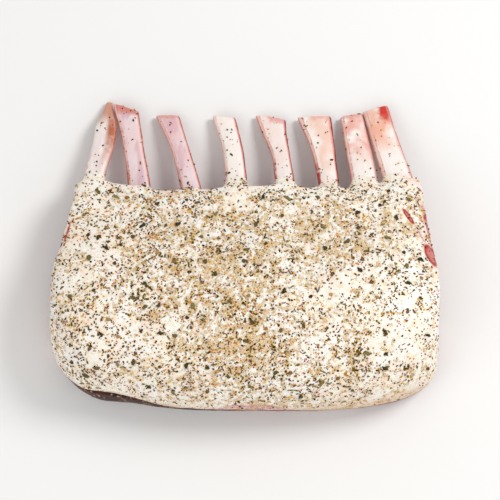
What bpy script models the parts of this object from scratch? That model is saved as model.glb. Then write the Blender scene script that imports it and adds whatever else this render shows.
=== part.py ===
"""A raw rack of lamb, fat side up: a fat cap over the loin meat, carried by eight frenched ribs.

+X runs along the back of the animal, +Y from the loin to the bared rib ends and +Z up. The rack
rests on the underside of its ribs, at their chine ends and at their tips. Sizes are in metres.

A place on the rack is s, from -1 at its left end to 1 at its right end, and a distance d behind the
loin edge. On the fat, q runs from 0 at its foot on the loin edge to 1 where it meets the bare ribs.
"""

import bisect
import math
import random
from collections import namedtuple

import bmesh
import bpy
from mathutils import Matrix, Vector, noise

# Plan of the meat: each side is its distance from the middle, at a place along Y.
LEFT_SIDE = [(-0.087, 0.1024), (-0.036, 0.1036), (-0.008, 0.1008), (0.004, 0.0966), (0.015, 0.0947)]
LEFT_SIDE += [(0.036, 0.0896)]
RIGHT_SIDE = [(-0.087, 0.1056), (-0.042, 0.1038), (-0.016, 0.1039), (0.003, 0.0998), (0.018, 0.0968)]
RIGHT_SIDE += [(0.036, 0.0950)]
LOIN_EDGE = -0.0867

# How far the loin edge falls back at each end, and how square that corner is.
LEFT_CORNER = (0.042, 2.6)
RIGHT_CORNER = (0.035, 3.3)

# At the left front the loin swells out from under the fat: how far, its middle along s, its half
# length, and how far the foot of the fat lies behind the loin edge along s.
LOIN_SWELL = 0.0040
SWELL_S = -0.80
SWELL_LENGTH = 0.14
FOOT_BACK = [(-1.0, 0.0), (-0.88, 0.0006), (-0.76, 0.0036), (-0.60, 0.0025), (-0.42, 0.0004), (-0.2, 0.0)]
FOOT_BACK += [(1.0, 0.0)]

# The line along which the fat is trimmed from the ribs: its y along X, lowest between ribs 2 and 3.
# A tongue of fat climbs each bone.
FRENCH_Y = 0.0345
FRENCH_LINE = [(-0.095, 0.0367), (-0.069, 0.0360), (-0.045, 0.0320), (-0.017, 0.0327), (0.008, 0.0343)]
FRENCH_LINE += [(0.055, 0.0332), (0.075, 0.0345), (0.086, 0.0365), (0.095, 0.0398)]
TONGUE_WIDTH = 0.0065

# Section of the meat: height of the fat along Y, and the round of the loin edge.
CROWN = [(-0.087, 0.0540), (-0.047, 0.0575), (-0.014, 0.0510), (0.013, 0.0400), (0.036, 0.0300)]
NOSE_DEPTH = 0.040
NOSE_SQUARENESS = 2.3
UNDERSIDE_START = 0.006

# The meat's bare face below the fat: how deep it is set, at a share of the height of the fat's foot,
# and how much of the way it leans back to that foot at its top.
LOIN_FACE = [(0.0022, 0.22), (0.0004, 0.45), (0.0002, 0.68)]
LOIN_FACE_TOP = 0.0008
LOIN_FACE_LEAN = 0.4

# The fat cap: height of its foot along s, and its depth along Y, less where it rounds off at the back.
FAT_FOOT = [(-1.0, 0.014), (-0.86, 0.023), (-0.62, 0.024), (-0.44, 0.018), (-0.2, 0.021)]
FAT_FOOT += [(0.15, 0.021), (0.45, 0.015), (1.0, 0.013)]
FAT_DEPTH = [(-0.087, 0.0045), (-0.047, 0.0075), (-0.002, 0.0070), (0.036, 0.0055)]
BACK_ROUND = 0.010
BACK_FALL = 0.004
BACK_UPRIGHT = 0.1
SEAM = 0.0005

# The ends: the share of the crown's height that is left there, and how square they round off.
END_KEEP = 0.40
END_SQUARENESS = 3.2

# Soft lumps over the fat, which die out at its ends and within a short way of its foot.
LUMP_SIZE = 0.022
LUMP_HEIGHT = 0.0016
LUMP_START = 0.010
LUMP_SQUARENESS = 8

# Ribs: an arch that touches down at the chine end and at the tip. Each has stations up its bared bone
# (y, x of its middle, width), how far its tip is lifted, how much further the right side of its sawn
# end reaches than its middle, and how far the fat's tongue climbs it.
Rib = namedtuple("Rib", "bared lift slant tongue")
RIBS = [
    Rib(
        [(0.0452, -0.0811, 0.0117), (0.0622, -0.0771, 0.0122), (0.0727, -0.0762, 0.0113)]
        + [(0.0797, -0.0757, 0.0064), (0.0867, -0.0750, 0.0034)],
        lift=0.0, slant=0.0, tongue=0.003,
    ),
    Rib(
        [(0.0402, -0.0578, 0.0124), (0.0562, -0.0605, 0.0113), (0.0712, -0.0632, 0.0122)]
        + [(0.0830, -0.0658, 0.0144)],
        lift=0.0018, slant=-0.0020, tongue=0.001,
    ),
    Rib(
        [(0.0382, -0.0298, 0.0112), (0.0602, -0.0359, 0.0102), (0.0787, -0.0426, 0.0130)],
        lift=0.0, slant=0.0, tongue=0.001,
    ),
    Rib(
        [(0.0402, -0.0045, 0.0122), (0.0542, -0.0057, 0.0114), (0.0779, -0.0113, 0.0128)],
        lift=0.0010, slant=-0.0005, tongue=0.003,
    ),
    Rib(
        [(0.0402, 0.0221, 0.0108), (0.0562, 0.0198, 0.0104), (0.0692, 0.0164, 0.0139)]
        + [(0.0777, 0.0146, 0.0170)],
        lift=0.0, slant=-0.0012, tongue=0.003,
    ),
    Rib(
        [(0.0402, 0.0460, 0.0114), (0.0582, 0.0433, 0.0134), (0.0779, 0.0388, 0.0188)],
        lift=0.0008, slant=0.0003, tongue=0.002,
    ),
    Rib(
        [(0.0402, 0.0657, 0.0148), (0.0582, 0.0629, 0.0143), (0.0790, 0.0596, 0.0128)],
        lift=0.0, slant=0.0010, tongue=0.003,
    ),
    Rib(
        [(0.0402, 0.0842, 0.0168), (0.0582, 0.0790, 0.0156), (0.0824, 0.0727, 0.0140)],
        lift=0.0014, slant=0.0018, tongue=0.003,
    ),
]
SLANT_START = 0.012
CHINE_INSET = 0.012
CHINE_FIRST_X = -0.0895
CHINE_PITCH = 0.0256
BURIED_Y = -0.002
TIP_Y = 0.080
ARCH = 0.0150
RIB_DEPTH = [(0.0, 0.0066), (0.7, 0.0068), (1.0, 0.0058)]
THIN_TIP = 0.0015
MIDDLE_DEPTH = 0.0068
BURIED_WIDTH = 0.0100
BONE_SQUARENESS = 2.6
SAWN_EDGE = 0.012
SAWN_EDGE_SIZE = 0.94
RIB_PROUD = 0.0015
OVER_RIB = 0.0022
BONE_GAP = 0.0003

# Herb flakes and cracked pepper bedded in the fat.
Flake = namedtuple("Flake", "length width thickness taper count")
FLAKES = {
    "leaf": Flake(0.0036, 0.0018, 0.0013, 0.72, 62),
    "corn": Flake(0.0021, 0.0019, 0.0016, 0.55, 48),
}
FLAKE_SIDES = 5
FLAKE_SINK = 0.35
FLAKE_MARGIN = 0.003
FLAKED_S = 0.93
FLAKED_Q = (0.16, 0.96)
SEED = 8

# Fineness of the solids. The stations along the rack crowd together towards its ends.
LENGTH_STEPS = 48
END_CROWDING = 0.35
NOSE_STEPS = 6
TOP_STEPS = 8
UNDER_STEPS = 8
RIB_STEPS = 14
RIB_SIDES = 12
SLOPE_STEP = 0.004


def along(stations, at):
    """The value at a place between stations, on one smooth curve through them all."""
    places, values = zip(*stations)
    last = len(places) - 1

    def rise(i):
        return (values[i + 1] - values[i]) / (places[i + 1] - places[i])

    def slope(i):
        if i in (0, last):
            return rise(min(i, last - 1))
        before, after = places[i] - places[i - 1], places[i + 1] - places[i]
        return (rise(i - 1) * after + rise(i) * before) / (before + after)

    i = min(max(bisect.bisect_right(places, at) - 1, 0), last - 1)
    span = places[i + 1] - places[i]
    u = min(max((at - places[i]) / span, 0.0), 1.0)
    start = values[i] * (1 + 2 * u) * (1 - u) ** 2 + slope(i) * span * u * (1 - u) ** 2
    end = values[i + 1] * u * u * (3 - 2 * u) + slope(i + 1) * span * u * u * (u - 1)
    return start + end


def superellipse(u, squareness):
    """Height of a rounded shoulder, 1 in the middle and 0 at u = 1."""
    return (1 - min(abs(u), 1.0) ** squareness) ** (1 / squareness)


def collection(name, hidden=False):
    made = bpy.data.collections.new(name)
    bpy.context.scene.collection.children.link(made)
    made.hide_render = hidden
    return made


def material(name, colour, roughness):
    made = bpy.data.materials.new(name)
    made.use_nodes = True
    shader = made.node_tree.nodes["Principled BSDF"]
    shader.inputs["Base Color"].default_value = (*colour, 1)
    shader.inputs["Roughness"].default_value = roughness
    shader.inputs["Metallic"].default_value = 0
    return made


def object_from(mesh, name, group, finish):
    """The finished bmesh as a named object with its material."""
    data = bpy.data.meshes.new(name)
    mesh.to_mesh(data)
    mesh.free()
    made = bpy.data.objects.new(name, data)
    made.data.materials.append(finish)
    group.objects.link(made)
    return made


def loft(name, rings, group, finish):
    """A closed body through rings of equal count, with a flat face at each end."""
    mesh = bmesh.new()
    rows = [[mesh.verts.new(point) for point in ring] for ring in rings]
    for row, following in zip(rows, rows[1:]):
        for k in range(len(row)):
            beside = (k + 1) % len(row)
            mesh.faces.new((row[k], row[beside], following[beside], following[k]))
    mesh.faces.new(reversed(rows[0]))
    mesh.faces.new(rows[-1])
    bmesh.ops.recalc_face_normals(mesh, faces=mesh.faces)
    bmesh.ops.triangulate(mesh, faces=mesh.faces, quad_method="SHORT_EDGE")
    return object_from(mesh, name, group, finish)


# The plan, shared by the fat and the meat


def loin_edge(s):
    """Y of the loin edge, which falls back at both corners."""
    fall, squareness = LEFT_CORNER if s < 0 else RIGHT_CORNER
    swell = LOIN_SWELL * math.exp(-(((s - SWELL_S) / SWELL_LENGTH) ** 2))
    return LOIN_EDGE + fall * (1 - superellipse(s, squareness)) - swell


def side_x(s, y):
    """X of the place s along the rack."""
    return (along(RIGHT_SIDE, y) * (1 + s) - along(LEFT_SIDE, y) * (1 - s)) / 2


def french_edge(s):
    """Y where the fat is trimmed from the ribs, with a tongue up each bone."""
    x = side_x(s, FRENCH_Y)
    tongues = sum(rib.tongue * math.exp(-(((x - rib.bared[0][1]) / TONGUE_WIDTH) ** 2)) for rib in RIBS)
    return along(FRENCH_LINE, x) + tongues


def chine_y(s):
    """Y where the ribs are sawn off, a little behind the loin edge."""
    return loin_edge(s) + CHINE_INSET


def arch(y, start, tip_y=TIP_Y):
    """Height of a rib's underside between its sawn end and its tip."""
    q = min(max((y - start) / (tip_y - start), 0.0), 1.0)
    return 4 * ARCH * q * (1 - q)


def placed(s, d, z):
    """The point at s that lies d behind the loin edge."""
    y = loin_edge(s) + d
    return Vector((side_x(s, y), y, z))


def s_stations():
    """Places along the rack, closer together where its ends round off."""
    even = [2 * i / LENGTH_STEPS - 1 for i in range(LENGTH_STEPS + 1)]
    return [u * (1 + END_CROWDING * (1 - u * u)) for u in even]


def q_stations():
    count = NOSE_STEPS + TOP_STEPS
    return [j / count for j in range(count + 1)]


# The fat cap


def back_fall(s, y):
    """How much thinner the fat is where it rounds off towards the bare ribs."""
    return BACK_FALL * max(0.0, 1 - (french_edge(s) - y) / BACK_ROUND) ** 2


def fat_top(s, y, d):
    """Height of the outside of the fat, at a distance d behind the loin edge."""
    shoulder = arch(y, chine_y(s)) + MIDDLE_DEPTH + along(FAT_DEPTH, y) + OVER_RIB
    ends = END_KEEP + (1 - END_KEEP) * superellipse(s, END_SQUARENESS)
    height = shoulder + (along(CROWN, y) - shoulder) * ends - back_fall(s, y)
    foot, back = along(FAT_FOOT, s), along(FOOT_BACK, s)
    nose = min(max(d - back, 0.0) / (NOSE_DEPTH - back), 1.0)
    height = foot + (height - foot) * superellipse(1 - nose, NOSE_SQUARENESS)
    lump = noise.noise(Vector((side_x(s, y), y, 0.0)) / LUMP_SIZE)
    return height + LUMP_HEIGHT * lump * min(1.0, d / LUMP_START) * superellipse(s, LUMP_SQUARENESS)


def fat_point(s, q):
    """(d, height) of the outside of the fat: evenly round the nose, then straight back."""
    nose = NOSE_STEPS / (NOSE_STEPS + TOP_STEPS)
    if q < nose:
        back = along(FOOT_BACK, s)
        d = back + (NOSE_DEPTH - back) * (1 - math.cos(math.pi / 2 * q / nose)) ** (NOSE_SQUARENESS / 2)
    else:
        depth = french_edge(s) - loin_edge(s)
        d = NOSE_DEPTH + (depth - NOSE_DEPTH) * (q - nose) / (1 - nose)
    return d, fat_top(s, loin_edge(s) + d, d)


def under_fat(s, q, extra=0.0):
    """A point below the fat, square to its surface, but straight down where it meets the ribs."""
    low = fat_point(s, max(q - SLOPE_STEP, 0.0))
    high = fat_point(s, min(q + SLOPE_STEP, 1.0))
    slope = math.atan2(high[1] - low[1], high[0] - low[0]) * min((1 - q) / BACK_UPRIGHT, 1.0)
    d, z = fat_point(s, q)
    y = loin_edge(s) + d
    depth = along(FAT_DEPTH, y) - back_fall(s, y) + extra
    return placed(s, d + depth * math.sin(slope), z - depth * math.cos(slope))


def fat_ring(s):
    outside = [placed(s, *fat_point(s, q)) for q in q_stations()]
    return outside + [under_fat(s, q) for q in reversed(q_stations())]


def flake(kind, number, spot, normal, turn, group, finish):
    """One flake, turned about the normal of the fat and part sunk in it."""
    size = FLAKES[kind]
    mesh = bmesh.new()
    bmesh.ops.create_cone(
        mesh, cap_ends=True, segments=FLAKE_SIDES, radius1=0.5, radius2=0.5 * size.taper, depth=1.0
    )
    shape = Matrix.Diagonal((size.length, size.width, size.thickness, 1))
    lie = normal.to_track_quat("Z", "Y").to_matrix().to_4x4()
    middle = spot + normal * size.thickness * (0.5 - FLAKE_SINK)
    place = Matrix.Translation(middle) @ lie @ Matrix.Rotation(turn, 4, "Z")
    bmesh.ops.transform(mesh, matrix=place @ shape, verts=mesh.verts)
    object_from(mesh, f"{kind}_{number}", group, finish)


def sprinkle(fat, finish):
    """Flakes over the fat, none touching another, joined to it by one union."""
    group = collection("flakes")
    draw = random.Random(SEED)
    taken = []
    for kind, size in FLAKES.items():
        number = 0
        while number < size.count:
            s = draw.uniform(-FLAKED_S, FLAKED_S)
            q = draw.uniform(*FLAKED_Q)
            turn = draw.uniform(0, math.pi)
            place = placed(s, *fat_point(s, q))
            reach = size.length / 2
            if any((place - other).length < reach + theirs + FLAKE_MARGIN for other, theirs in taken):
                continue
            taken.append((place, reach))
            spot, normal = fat.closest_point_on_mesh(place)[1:3]
            flake(kind, number, spot, normal, turn, group, finish)
            number += 1
    union = fat.modifiers.new("Flakes", "BOOLEAN")
    union.operation = "UNION"
    union.operand_type = "COLLECTION"
    union.collection = group
    union.solver = "EXACT"
    graph = bpy.context.evaluated_depsgraph_get()
    joined = bpy.data.meshes.new_from_object(fat.evaluated_get(graph))
    fat.modifiers.clear()
    fat.data = joined
    for piece in list(group.objects):
        bpy.data.objects.remove(piece)
    bpy.data.collections.remove(group)


# The ribs


def rib_start(number):
    """(x, y) of a rib's sawn end."""
    x = CHINE_FIRST_X + CHINE_PITCH * number
    return x, chine_y(x / along(RIGHT_SIDE, LOIN_EDGE))


def rib_path(number):
    """Stations along a rib (y, x, width): where it is buried it carries on the lean of its bare end."""
    bared = RIBS[number].bared
    (base_y, base_x, base_width), (waist_y, waist_x, _) = bared[:2]
    start_x, start_y = rib_start(number)
    lean = (waist_x - base_x) / (waist_y - base_y)
    buried_x = base_x - lean * (base_y - BURIED_Y) / 2
    buried_width = (BURIED_WIDTH + base_width) / 2
    return [(start_y, start_x, BURIED_WIDTH), (BURIED_Y, buried_x, buried_width)] + bared


def rib_ring(number, f, grow=0.0):
    """The oval of a rib at a share f of the way from its chine end to its tip."""
    rib = RIBS[number]
    path = rib_path(number)
    start_y, base_y, tip_y = path[0][0], rib.bared[0][0], path[-1][0]
    y = start_y + (tip_y - start_y) * f
    x = along([(y, x) for y, x, _ in path], y)
    width = along([(y, width) for y, _, width in path], y)
    depth = min(along(RIB_DEPTH, f), width / 2 + THIN_TIP)
    size = SAWN_EDGE_SIZE if f == 1.0 else 1.0
    lift = rib.lift * max(0.0, (y - base_y) / (tip_y - base_y))
    slant = rib.slant * max(0.0, 1 - (tip_y - y) / SLANT_START)
    middle = Vector((x, y, arch(y, start_y, tip_y) + lift + depth / 2))
    ring = []
    for k in range(RIB_SIDES):
        turn = math.tau * (k + 0.5) / RIB_SIDES
        across, up = math.cos(turn), math.sin(turn)
        reach = (abs(across) ** BONE_SQUARENESS + abs(up) ** BONE_SQUARENESS) ** (-1 / BONE_SQUARENESS)
        across, up = across * reach, up * reach
        half_width, half_depth = width / 2 * size + grow, depth / 2 * size + grow
        ring.append(middle + Vector((across * half_width, across * slant, up * half_depth)))
    return ring


def rib_stations():
    """Shares of the way along a rib, with one just short of the tip for its rounded edge."""
    return [k / RIB_STEPS for k in range(RIB_STEPS)] + [1 - SAWN_EDGE, 1.0]


def rib(number, group, finish):
    return loft(f"rib_{number + 1}", [rib_ring(number, f) for f in rib_stations()], group, finish)


# The meat


def rib_groove(number, group, finish):
    """What the meat leaves free round a rib: the rib a little larger, and past its sawn end."""
    rings = [rib_ring(number, f, BONE_GAP) for f in rib_stations()]
    for point in rings[0]:
        point.y -= BONE_GAP
    cutter = loft(f"rib_groove_{number + 1}", rings, group, finish)
    cutter.hide_render = True
    cutter.display_type = "WIRE"


def meat_ring(s):
    """Along under the fat to the frenching line, back along the ribs, and up the loin edge."""
    foot = along(FAT_FOOT, s)
    back = french_edge(s) - loin_edge(s) - SEAM
    ring = [under_fat(s, q, SEAM) for q in q_stations()]
    for k in range(UNDER_STEPS + 1):
        d = back + (UNDERSIDE_START - back) * k / UNDER_STEPS
        ring.append(placed(s, d, arch(loin_edge(s) + d, chine_y(s)) + RIB_PROUD))
    ring += [placed(s, d, foot * share) for d, share in LOIN_FACE]
    return ring + [placed(s, LOIN_FACE_TOP + LOIN_FACE_LEAN * along(FOOT_BACK, s), foot - 2 * SEAM)]


def meat(group, cutters, finish):
    """The loin and the meat between the ribs, with a groove for each rib."""
    made = loft("meat", [meat_ring(s) for s in s_stations()], group, finish)
    for number in range(len(RIBS)):
        rib_groove(number, cutters, finish)
    grooves = made.modifiers.new("Grooves", "BOOLEAN")
    grooves.operation = "DIFFERENCE"
    grooves.operand_type = "COLLECTION"
    grooves.collection = cutters
    grooves.solver = "EXACT"


def build():
    for old in list(bpy.data.objects):
        bpy.data.objects.remove(old)
    rack = collection("rack_of_lamb")
    fat_finish = material("fat", (0.90, 0.84, 0.72), 0.45)
    meat_finish = material("meat", (0.52, 0.16, 0.14), 0.40)
    bone_finish = material("bone", (0.86, 0.74, 0.68), 0.40)
    meat(rack, collection("cutters", hidden=True), meat_finish)
    for number in range(len(RIBS)):
        rib(number, rack, bone_finish)
    fat = loft("fat_cap", [fat_ring(s) for s in s_stations()], rack, fat_finish)
    sprinkle(fat, fat_finish)


build()
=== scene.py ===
"""The looks of a raw rack of lamb: its ribs, the loin meat, the fat cap and the dry rub on it.

Sizes are in metres. A place on the rack is s, from -1 at its left end to 1 at its right end, and a
distance d behind the loin edge. On the fat, q runs from 0 at its foot to 1 at the bared ribs.
"""

import bisect
import math
import random
from collections import namedtuple

import bmesh
import bpy
import numpy as np
from mathutils import Matrix, Vector, noise


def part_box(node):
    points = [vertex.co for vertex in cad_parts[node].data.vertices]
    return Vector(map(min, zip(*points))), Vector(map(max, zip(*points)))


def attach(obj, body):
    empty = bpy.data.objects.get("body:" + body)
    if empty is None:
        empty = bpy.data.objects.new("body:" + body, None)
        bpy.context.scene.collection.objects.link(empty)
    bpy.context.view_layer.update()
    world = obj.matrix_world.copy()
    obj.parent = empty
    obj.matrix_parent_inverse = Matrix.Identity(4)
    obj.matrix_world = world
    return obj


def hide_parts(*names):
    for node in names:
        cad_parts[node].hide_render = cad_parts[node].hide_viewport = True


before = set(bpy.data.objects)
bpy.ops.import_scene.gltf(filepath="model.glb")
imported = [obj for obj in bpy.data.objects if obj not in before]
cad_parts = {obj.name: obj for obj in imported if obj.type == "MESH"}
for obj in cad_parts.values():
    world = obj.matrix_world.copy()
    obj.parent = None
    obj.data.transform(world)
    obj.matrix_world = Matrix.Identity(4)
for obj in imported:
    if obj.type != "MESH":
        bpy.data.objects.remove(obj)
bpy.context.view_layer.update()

# The ribs
# Eight ribs of lamb, sawn off at both ends and scraped bare beyond the fat. Clean bone is ivory, with
# lilac and pink stains, and shreds of red tissue are left along its sides and round its sawn tip.

# Each rib has stations up its bared bone (y, x of its middle, width), the lift and the slant of its
# tip, and how strongly it shows lilac, a red left and right side and red tissue at its foot. Its flush
# has a strength, a share across where it starts and a colour, and its stained tip a length as well.
Rib = namedtuple("Rib", "bared lift slant lilac left right foot flush tip")
Stain = namedtuple("Stain", "strength start tone length", defaults=(0.046,))
RIBS = [
    Rib(
        [(0.0452, -0.0811, 0.0117), (0.0622, -0.0771, 0.0122), (0.0727, -0.0762, 0.0113)]
        + [(0.0797, -0.0757, 0.0064), (0.0867, -0.0750, 0.0034)],
        0.0, 0.0, lilac=0.25, left=0.05, right=0.40, foot=0.35,
        flush=Stain(1.00, 0.10, (180, 104, 74)), tip=Stain(0.95, -2.0, (204, 146, 122), 0.0170),
    ),
    Rib(
        [(0.0402, -0.0578, 0.0124), (0.0562, -0.0605, 0.0113), (0.0712, -0.0632, 0.0122)]
        + [(0.0830, -0.0658, 0.0144)],
        0.0018, -0.0020, lilac=1.00, left=0.80, right=0.80, foot=0.60,
        flush=Stain(0.20, -2.0, (232, 190, 184)), tip=Stain(0.90, -2.0, (208, 122, 108), 0.0060),
    ),
    Rib(
        [(0.0382, -0.0298, 0.0112), (0.0602, -0.0359, 0.0102), (0.0787, -0.0426, 0.0130)],
        0.0, 0.0, lilac=0.90, left=0.60, right=0.90, foot=0.50,
        flush=Stain(0.45, -2.0, (230, 176, 180)), tip=Stain(0.50, -2.0, (214, 130, 122), 0.0030),
    ),
    Rib(
        [(0.0402, -0.0045, 0.0122), (0.0542, -0.0057, 0.0114), (0.0779, -0.0113, 0.0128)],
        0.0010, -0.0005, lilac=0.00, left=0.35, right=1.00, foot=0.30,
        flush=Stain(0.25, -2.0, (240, 218, 212)), tip=Stain(0.15, 0.2, (216, 130, 120), 0.0030),
    ),
    Rib(
        [(0.0402, 0.0221, 0.0108), (0.0562, 0.0198, 0.0104), (0.0692, 0.0164, 0.0139)]
        + [(0.0777, 0.0146, 0.0170)],
        0.0, -0.0012, lilac=0.15, left=0.80, right=1.00, foot=1.00,
        flush=Stain(0.40, -2.0, (240, 208, 198)), tip=Stain(0.60, -0.2, (216, 110, 104), 0.0050),
    ),
    Rib(
        [(0.0402, 0.0460, 0.0114), (0.0582, 0.0433, 0.0134), (0.0779, 0.0388, 0.0188)],
        0.0008, 0.0003, lilac=0.00, left=0.80, right=1.00, foot=1.00,
        flush=Stain(0.80, -0.6, (238, 194, 176)), tip=Stain(0.35, -0.3, (216, 110, 104), 0.0030),
    ),
    Rib(
        [(0.0402, 0.0657, 0.0148), (0.0582, 0.0629, 0.0143), (0.0790, 0.0596, 0.0128)],
        0.0, 0.0010, lilac=0.00, left=0.60, right=0.50, foot=0.30,
        flush=Stain(0.80, -2.0, (232, 158, 142), 0.036), tip=Stain(0.50, -2.0, (214, 112, 100), 0.0030),
    ),
    Rib(
        [(0.0402, 0.0842, 0.0168), (0.0582, 0.0790, 0.0156), (0.0824, 0.0727, 0.0140)],
        0.0014, 0.0018, lilac=0.00, left=0.60, right=0.55, foot=0.20,
        flush=Stain(0.85, -2.0, (236, 166, 138), 0.032), tip=Stain(1.00, 0.15, (204, 50, 36), 0.0110),
    ),
]
CHINE_FIRST_X = -0.0895
CHINE_PITCH = 0.0256
BURIED_Y = -0.002
BURIED_WIDTH = 0.0100
ARCH = 0.0150
RIB_DEPTH = [(0.0, 0.0066), (0.7, 0.0068), (1.0, 0.0058)]
THIN_TIP = 0.0015
SLANT_START = 0.012
BONE_SQUARENESS = 2.6
SAWN_EDGE = 0.0018
SAWN_EDGE_SIZE = 0.94
RIB_RINGS = 90
RIB_SIDES = 40
EDGE_RINGS = 5
MARROW_RINGS = [(0.80, 0.0), (0.62, 0.0003), (0.40, 0.0005), (0.16, 0.0006)]


class Wire:
    """One output of a node. Sums with wires add Math nodes, and node() adds any other node."""

    def __init__(self, tree, socket=None):
        self.tree = tree
        self.socket = socket

    def node(self, kind, settings=(), sockets=(), out=0):
        made = self.tree.nodes.new(kind)
        for name, value in dict(settings).items():
            setattr(made, name, value)
        for name, value in dict(sockets).items():
            if isinstance(value, Wire):
                self.tree.links.new(value.socket, made.inputs[name])
            else:
                made.inputs[name].default_value = value
        return Wire(self.tree, made.outputs[out])

    def beside(self, out):
        return Wire(self.tree, self.socket.node.outputs[out])

    def into(self, node, name):
        self.tree.links.new(self.socket, node.inputs[name])

    def math(self, operation, first, second):
        return self.node("ShaderNodeMath", {"operation": operation}, {0: first, 1: second})

    def __add__(self, term):
        return self.math("ADD", self, term)

    def __sub__(self, term):
        return self.math("SUBTRACT", self, term)

    def __rsub__(self, term):
        return self.math("SUBTRACT", term, self)

    def __mul__(self, factor):
        return self.math("MULTIPLY", self, factor)

    def __rtruediv__(self, term):
        return self.math("DIVIDE", term, self)

    def __pow__(self, power):
        return self.math("POWER", self, power)

    __radd__ = __add__
    __rmul__ = __mul__

    def unsigned(self):
        return self.math("ABSOLUTE", self, 0.0)

    def most(self, other):
        return self.math("MAXIMUM", self, other)

    def rise(self, low, high):
        """0 at low and 1 at high, easing in and out."""
        sockets = {"Value": self, "From Min": low, "From Max": high}
        return self.node("ShaderNodeMapRange", {"interpolation_type": "SMOOTHSTEP"}, sockets)

    def pick(self, none, full):
        """The first colour where this is 0 and the second where it is 1."""
        sockets = {0: self, 6: none, 7: full}
        return self.node("ShaderNodeMix", {"data_type": "RGBA"}, sockets, out=2)

    def vector(self, operation, other):
        return self.node("ShaderNodeVectorMath", {"operation": operation}, {0: self, 1: other})

    def scaled(self, factor):
        """A vector times a number."""
        sockets = {0: self, "Scale": factor}
        return self.node("ShaderNodeVectorMath", {"operation": "SCALE"}, sockets)

    def axis(self, name):
        return self.node("ShaderNodeSeparateXYZ", (), {0: self}, out=name)

    def noise(self, size, detail=2.0, roughness=0.5, out=0):
        """Noise at these coordinates, with features of about this size."""
        sockets = {"Vector": self, "Scale": 1 / size, "Detail": detail, "Roughness": roughness}
        return self.node("ShaderNodeTexNoise", (), sockets, out)

    def mark(self, name):
        """A number kept on the points of a mesh, in a shader."""
        return self.node("ShaderNodeAttribute", {"attribute_name": name}, out="Fac")


def colour(red, green, blue):
    """A colour as a screen shows it, 0 to 255, in linear light."""
    shares = (channel / 255 for channel in (red, green, blue))
    linear = (v / 12.92 if v <= 0.04045 else ((v + 0.055) / 1.055) ** 2.4 for v in shares)
    return (*linear, 1.0)


def moist(name, roughness, glow, glow_depth):
    """A material with a wet skin that lets some light in, its shader, and its Object coordinates."""
    made = bpy.data.materials.new(name)
    made.use_nodes = True
    shader = made.node_tree.nodes["Principled BSDF"]
    shader.inputs["Roughness"].default_value = roughness
    shader.inputs["Subsurface Weight"].default_value = glow
    shader.inputs["Subsurface Radius"].default_value = (1.0, 0.45, 0.25)
    shader.inputs["Subsurface Scale"].default_value = glow_depth
    place = Wire(made.node_tree).node("ShaderNodeTexCoord", out="Object")
    return made, shader, place


def relief_in(shader, height, depth):
    """Fine relief in a material: its height is worked out on wires, its depth is a length."""
    bump = height.node("ShaderNodeBump", (), {"Height": height, "Distance": depth}, out="Normal")
    bump.into(shader, "Normal")


def tree_with(name, sizes):
    """A Geometry Nodes tree with named inputs, and a wire from each of them."""
    tree = bpy.data.node_groups.new(name, "GeometryNodeTree")
    kinds = {"Geometry": "NodeSocketGeometry", "Material": "NodeSocketMaterial"}
    kinds.update({"Seed": "NodeSocketInt", "Stretch": "NodeSocketVector"})
    for size in ("Geometry", *sizes, "Material"):
        socket_type = kinds.get(size, "NodeSocketFloat")
        tree.interface.new_socket(size, in_out="INPUT", socket_type=socket_type)
    tree.interface.new_socket("Geometry", in_out="OUTPUT", socket_type="NodeSocketGeometry")
    source = tree.nodes.new("NodeGroupInput")
    return tree, {size: Wire(tree, source.outputs[size]) for size in ("Geometry", *sizes, "Material")}


def finished(geometry, material):
    """The end of a tree: instances realized, the material set, and the result put out."""
    whole = geometry.node("GeometryNodeRealizeInstances", (), {"Geometry": geometry})
    dressed = whole.node("GeometryNodeSetMaterial", (), {"Geometry": whole, "Material": material})
    dressed.into(whole.tree.nodes.new("NodeGroupOutput"), 0)


def made_plain(piece):
    """Makes what the modifiers of a piece show its own mesh."""
    graph = bpy.context.evaluated_depsgraph_get()
    mesh = bpy.data.meshes.new_from_object(piece.evaluated_get(graph))
    piece.modifiers.clear()
    piece.data = mesh
    mesh.name = piece.name


def worked(piece, tree, values):
    """Gives a piece the plain mesh that a tree makes of it."""
    modifier = piece.modifiers.new(tree.name, "NODES")
    modifier.node_group = tree
    for item in tree.interface.items_tree:
        if item.in_out == "INPUT" and item.name in values:
            modifier[item.identifier] = values[item.name]
    made_plain(piece)


def piece_from(name, mesh):
    made = bpy.data.objects.new(name, mesh)
    bpy.context.scene.collection.objects.link(made)
    return made


def skin(name, rings):
    """A closed mesh through rings of points, with a flat face at each end."""
    sides = len(rings[0])
    mesh = bmesh.new()
    rows = [[mesh.verts.new(point) for point in ring] for ring in rings]
    for row, following in zip(rows, rows[1:]):
        for k in range(sides):
            beside = (k + 1) % sides
            mesh.faces.new((row[k], row[beside], following[beside], following[k]))
    mesh.faces.new(reversed(rows[0]))
    mesh.faces.new(rows[-1])
    bmesh.ops.recalc_face_normals(mesh, faces=mesh.faces)
    data = bpy.data.meshes.new(name)
    mesh.to_mesh(data)
    mesh.free()
    return data


def keep_mark(mesh, name, values):
    """Keeps a number for each point of a mesh under a name."""
    made = mesh.attributes.get(name) or mesh.attributes.new(name, "FLOAT", "POINT")
    made.data.foreach_set("value", np.asarray(values, dtype=np.float32).ravel())


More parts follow.
